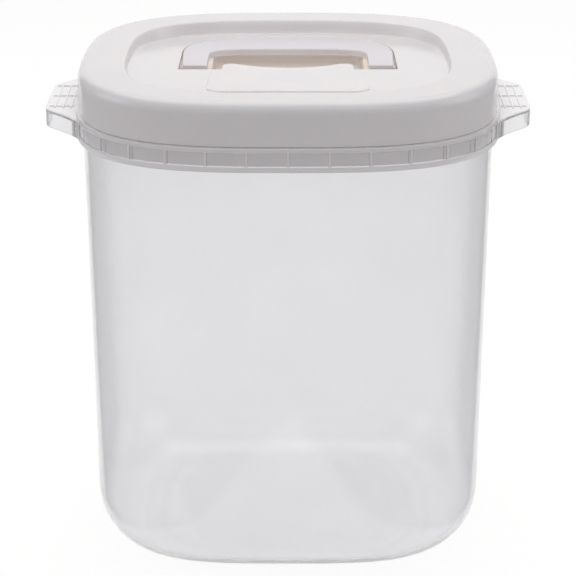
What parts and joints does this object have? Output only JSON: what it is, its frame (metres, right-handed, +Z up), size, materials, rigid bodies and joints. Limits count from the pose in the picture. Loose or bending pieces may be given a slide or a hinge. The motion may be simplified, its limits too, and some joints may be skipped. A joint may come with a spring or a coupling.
{
  "type": "rice bin with lift-off lid",
  "caption": "Clear rice bin with a ribbed rim and grip ears, under a white lift-off lid that has a fold-flat carry handle over a finger well.",
  "frame": {"origin": "centre of the base, on the surface that the bin stands on", "axes": "+Z up, -Y the front that the picture looks at, +X to the right of the front; the handle hinges about X and folds towards +Y"},
  "size_m": [0.29, 0.242, 0.3026],
  "materials": {
    "clear_pp": "moulded clear polypropylene, slightly cloudy",
    "white_pp": "moulded white polypropylene, satin gloss",
    "ivory_pp": "moulded warm white polypropylene",
    "silicone": "soft translucent silicone",
    "handle_pp": "moulded white polypropylene, satin gloss"
  },
  "bodies": {
    "tub": {"container": "clear_pp"},
    "lid": {"lid_cover": "white_pp", "finger_tray": "ivory_pp", "lid_seal": "silicone"},
    "handle": {"carry_handle": "handle_pp"}
  },
  "joints": [
    {"name": "lid_lift", "type": "slide", "parent": "tub", "child": "lid", "axis": [0, 0, 1], "range_m": [0, 0.12]},
    {"name": "handle_fold", "type": "hinge", "parent": "lid", "child": "handle", "pos_m": [0, -0.00821, 0.29296], "axis": [1, 0, 0], "range_deg": [0, 95]}
  ]
}
